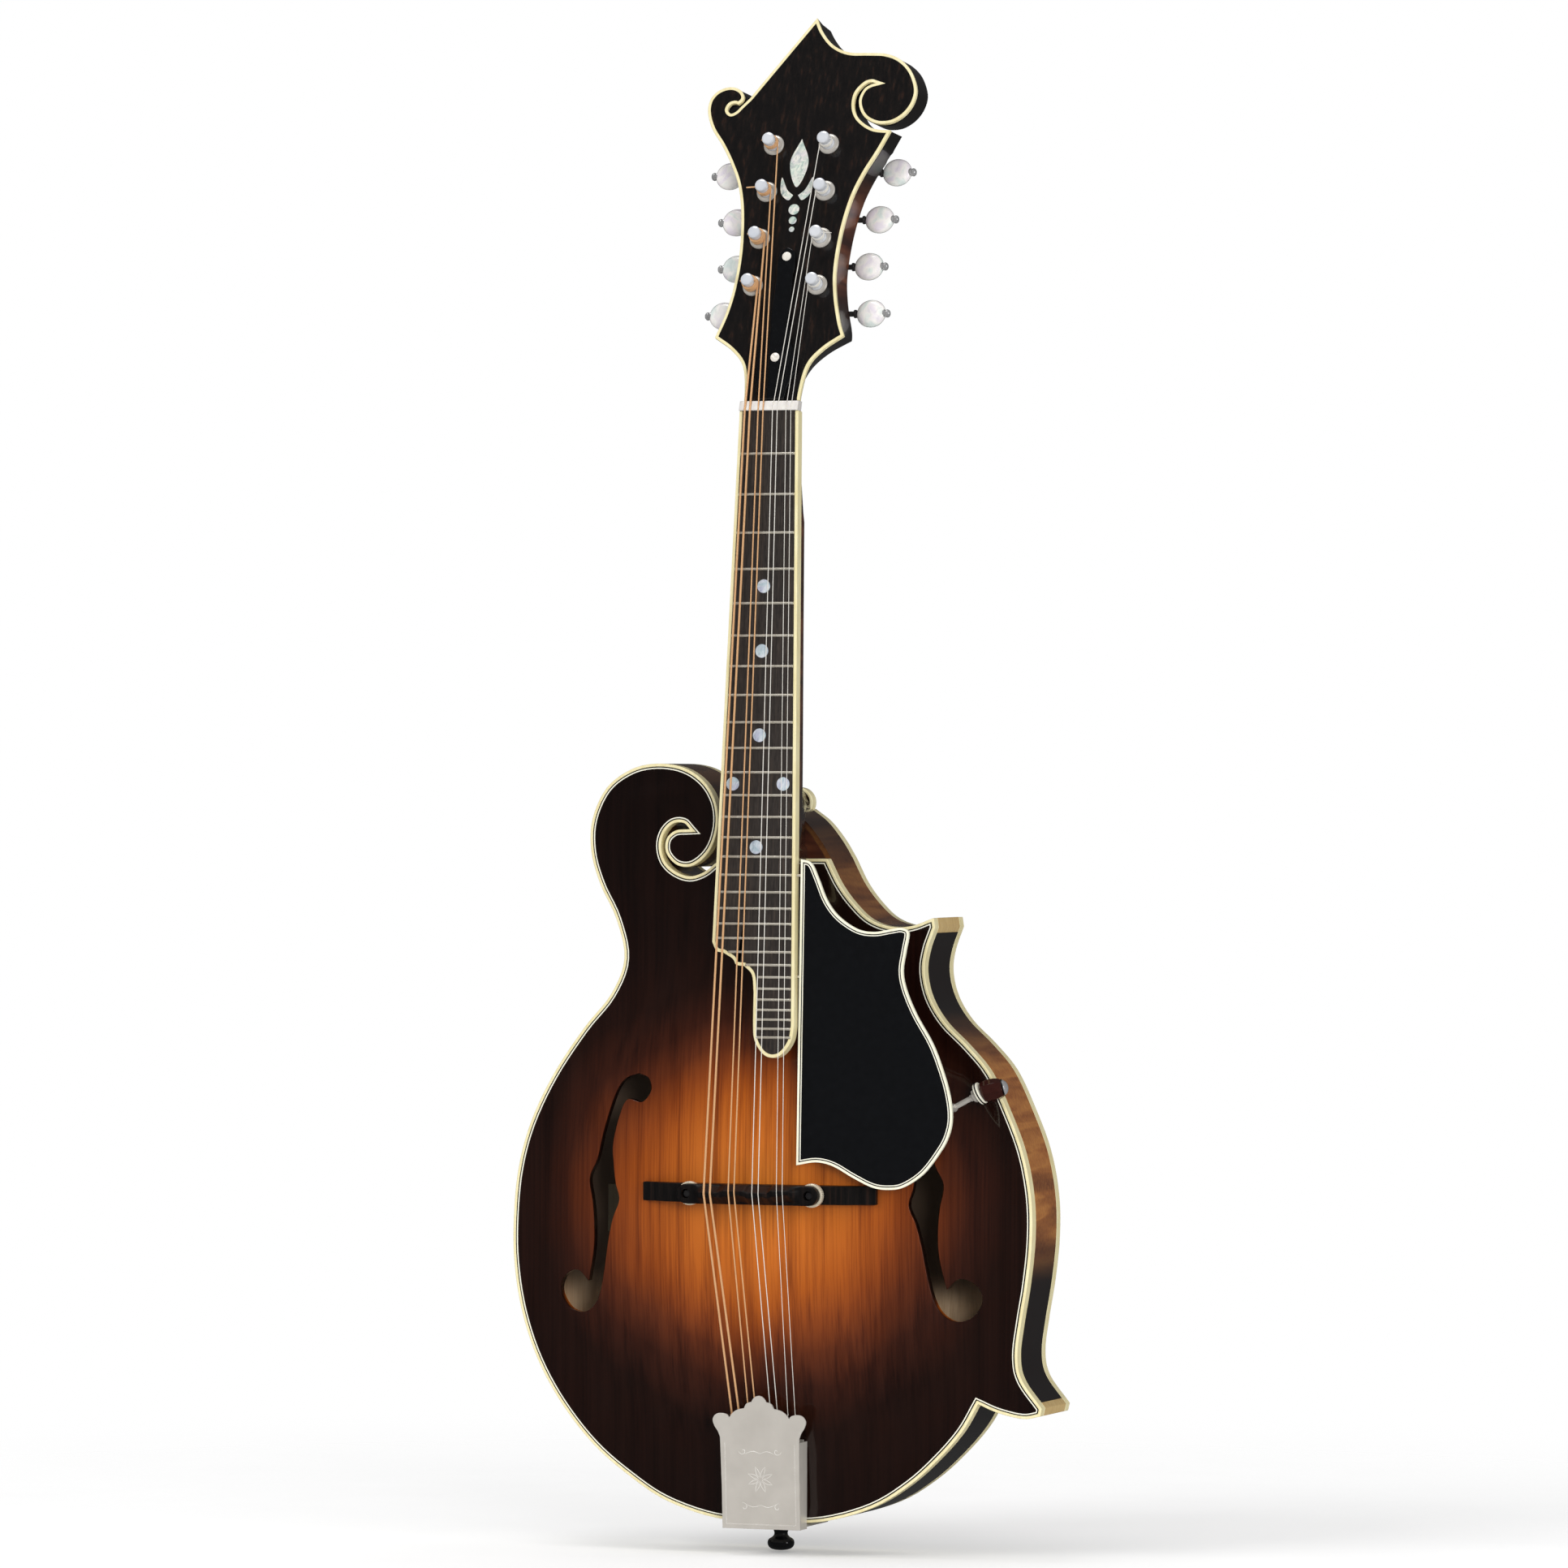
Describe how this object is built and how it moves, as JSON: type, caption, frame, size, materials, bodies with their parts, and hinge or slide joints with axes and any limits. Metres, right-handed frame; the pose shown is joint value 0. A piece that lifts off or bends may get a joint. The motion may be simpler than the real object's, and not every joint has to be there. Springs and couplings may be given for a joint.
{
  "type": "mandolin",
  "caption": "Arch-top mandolin with a body scroll, two body points, paired strings, geared tuners, a floating height-adjustable bridge and a sliding tailpiece cover.",
  "frame": {"origin": "on the centre line at the nut's fingerboard-side edge, level with the front of the body's rim: the place where a neck hanger holds the instrument", "axes": "+Z along the rim plane from the body towards the headstock, -Y out of the front, +X towards the treble side"},
  "size_m": [0.2575, 0.1091, 0.7069],
  "materials": {
    "spruce_top": "gloss sunburst lacquer on carved spruce",
    "maple_body": "gloss sunburst lacquer on flamed maple",
    "ivoroid": "gloss cream binding",
    "inner_wood": "bare wood",
    "ebony": "polished ebony",
    "black_plastic": "gloss black",
    "pearl": "mother-of-pearl",
    "nickel": "satin nickel plate",
    "fret_metal": "polished nickel silver",
    "steel": "plain steel",
    "bronze": "bronze string wrap",
    "brass": "plain brass",
    "paper": "aged plain paper"
  },
  "bodies": {
    "root": {"soundboard": "spruce_top", "back_plate": "maple_body", "ribs": "maple_body", "top_binding": "ivoroid", "back_binding": "ivoroid", "linings": "inner_wood", "tone_bars": "inner_wood", "head_block": "inner_wood", "tail_block": "inner_wood", "point_blocks": "inner_wood", "point_caps": "ivoroid", "neck": "maple_body", "truss_rod": "steel", "truss_rod_nut": "brass", "headstock_overlay": "ebony", "headstock_binding": "ivoroid", "headstock_inlay": "pearl", "truss_rod_cover": "black_plastic", "truss_rod_cover_screws": "nickel", "nut": "pearl", "fingerboard": "ebony", "fingerboard_binding": "ivoroid", "frets": "fret_metal", "position_markers": "pearl", "tuner_plates": "nickel", "tuner_plate_screws": "nickel", "tuner_bushings": "nickel", "strings_wound": "bronze", "strings_plain": "steel", "tailpiece_base": "nickel", "tailpiece_screws": "nickel", "end_pin": "ebony", "pickguard": "black_plastic", "pickguard_binding": "ivoroid", "pickguard_clamp": "inner_wood", "pickguard_rod": "nickel", "bridge_base": "ebony", "bridge_posts": "nickel", "label": "paper"},
    "saddle": {"bridge_saddle": "ebony"},
    "wheel_bass": {"thumbwheel_bass": "nickel"},
    "wheel_treble": {"thumbwheel_treble": "nickel"},
    "cover": {"tailpiece_cover": "nickel"},
    "knob_1": {"tuner_knob_1": "pearl"},
    "post_1": {"tuner_post_1": "nickel"},
    "knob_2": {"tuner_knob_2": "pearl"},
    "post_2": {"tuner_post_2": "nickel"},
    "knob_3": {"tuner_knob_3": "pearl"},
    "post_3": {"tuner_post_3": "nickel"},
    "knob_4": {"tuner_knob_4": "pearl"},
    "post_4": {"tuner_post_4": "nickel"},
    "knob_5": {"tuner_knob_5": "pearl"},
    "post_5": {"tuner_post_5": "nickel"},
    "knob_6": {"tuner_knob_6": "pearl"},
    "post_6": {"tuner_post_6": "nickel"},
    "knob_7": {"tuner_knob_7": "pearl"},
    "post_7": {"tuner_post_7": "nickel"},
    "knob_8": {"tuner_knob_8": "pearl"},
    "post_8": {"tuner_post_8": "nickel"}
  },
  "joints": [
    {"name": "saddle_height", "type": "slide", "parent": "root", "child": "saddle", "axis": [0, -1, 0], "range_m": [-0.001, 0.002], "deforming": ["strings_wound", "strings_plain"]},
    {"name": "wheel_bass_turn", "type": "hinge", "parent": "saddle", "child": "wheel_bass", "pos_m": [-0.0295, -0.0258, -0.357], "axis": [0, -1, 0], "range_deg": [-520, 1035]},
    {"name": "wheel_treble_turn", "type": "hinge", "parent": "saddle", "child": "wheel_treble", "pos_m": [0.0295, -0.0258, -0.357], "axis": [0, -1, 0], "range_deg": [-520, 1035]},
    {"name": "cover_slide", "type": "slide", "parent": "root", "child": "cover", "axis": [0, -0.2713, 0.9625], "range_m": [0, 0.02]},
    {"name": "knob_1_turn", "type": "hinge", "parent": "root", "child": "knob_1", "pos_m": [-0.0157, 0.03242, 0.04569], "axis": [1, 0, 0], "continuous": true},
    {"name": "post_1_turn", "type": "hinge", "parent": "root", "child": "post_1", "pos_m": [-0.0157, 0.0155, 0.05834], "axis": [0, 0.9511, -0.309], "continuous": true},
    {"name": "knob_2_turn", "type": "hinge", "parent": "root", "child": "knob_2", "pos_m": [-0.01495, 0.03959, 0.06776], "axis": [1, 0, 0], "continuous": true},
    {"name": "post_2_turn", "type": "hinge", "parent": "root", "child": "post_2", "pos_m": [-0.01495, 0.02267, 0.0804], "axis": [0, 0.9511, -0.309], "continuous": true},
    {"name": "knob_3_turn", "type": "hinge", "parent": "root", "child": "knob_3", "pos_m": [-0.0142, 0.04676, 0.08982], "axis": [1, 0, 0], "continuous": true},
    {"name": "post_3_turn", "type": "hinge", "parent": "root", "child": "post_3", "pos_m": [-0.0142, 0.02984, 0.10247], "axis": [0, 0.9511, -0.309], "continuous": true},
    {"name": "knob_4_turn", "type": "hinge", "parent": "root", "child": "knob_4", "pos_m": [-0.01345, 0.05393, 0.11189], "axis": [1, 0, 0], "continuous": true},
    {"name": "post_4_turn", "type": "hinge", "parent": "root", "child": "post_4", "pos_m": [-0.01345, 0.03701, 0.12453], "axis": [0, 0.9511, -0.309], "continuous": true},
    {"name": "knob_5_turn", "type": "hinge", "parent": "root", "child": "knob_5", "pos_m": [0.0157, 0.03242, 0.04569], "axis": [1, 0, 0], "continuous": true},
    {"name": "post_5_turn", "type": "hinge", "parent": "root", "child": "post_5", "pos_m": [0.0157, 0.0155, 0.05834], "axis": [0, 0.9511, -0.309], "continuous": true},
    {"name": "knob_6_turn", "type": "hinge", "parent": "root", "child": "knob_6", "pos_m": [0.01495, 0.03959, 0.06776], "axis": [1, 0, 0], "continuous": true},
    {"name": "post_6_turn", "type": "hinge", "parent": "root", "child": "post_6", "pos_m": [0.01495, 0.02267, 0.0804], "axis": [0, 0.9511, -0.309], "continuous": true},
    {"name": "knob_7_turn", "type": "hinge", "parent": "root", "child": "knob_7", "pos_m": [0.0142, 0.04676, 0.08982], "axis": [1, 0, 0], "continuous": true},
    {"name": "post_7_turn", "type": "hinge", "parent": "root", "child": "post_7", "pos_m": [0.0142, 0.02984, 0.10247], "axis": [0, 0.9511, -0.309], "continuous": true},
    {"name": "knob_8_turn", "type": "hinge", "parent": "root", "child": "knob_8", "pos_m": [0.01345, 0.05393, 0.11189], "axis": [1, 0, 0], "continuous": true},
    {"name": "post_8_turn", "type": "hinge", "parent": "root", "child": "post_8", "pos_m": [0.01345, 0.03701, 0.12453], "axis": [0, 0.9511, -0.309], "continuous": true}
  ],
  "couplings": [
    {"joint": "wheel_bass_turn", "follows": "saddle_height", "rad_per_m": 8976},
    {"joint": "wheel_treble_turn", "follows": "saddle_height", "rad_per_m": 8976},
    {"joint": "post_1_turn", "follows": "knob_1_turn", "ratio": 0.071429},
    {"joint": "post_2_turn", "follows": "knob_2_turn", "ratio": 0.071429},
    {"joint": "post_3_turn", "follows": "knob_3_turn", "ratio": 0.071429},
    {"joint": "post_4_turn", "follows": "knob_4_turn", "ratio": 0.071429},
    {"joint": "post_5_turn", "follows": "knob_5_turn", "ratio": 0.071429},
    {"joint": "post_6_turn", "follows": "knob_6_turn", "ratio": 0.071429},
    {"joint": "post_7_turn", "follows": "knob_7_turn", "ratio": 0.071429},
    {"joint": "post_8_turn", "follows": "knob_8_turn", "ratio": 0.071429}
  ]
}
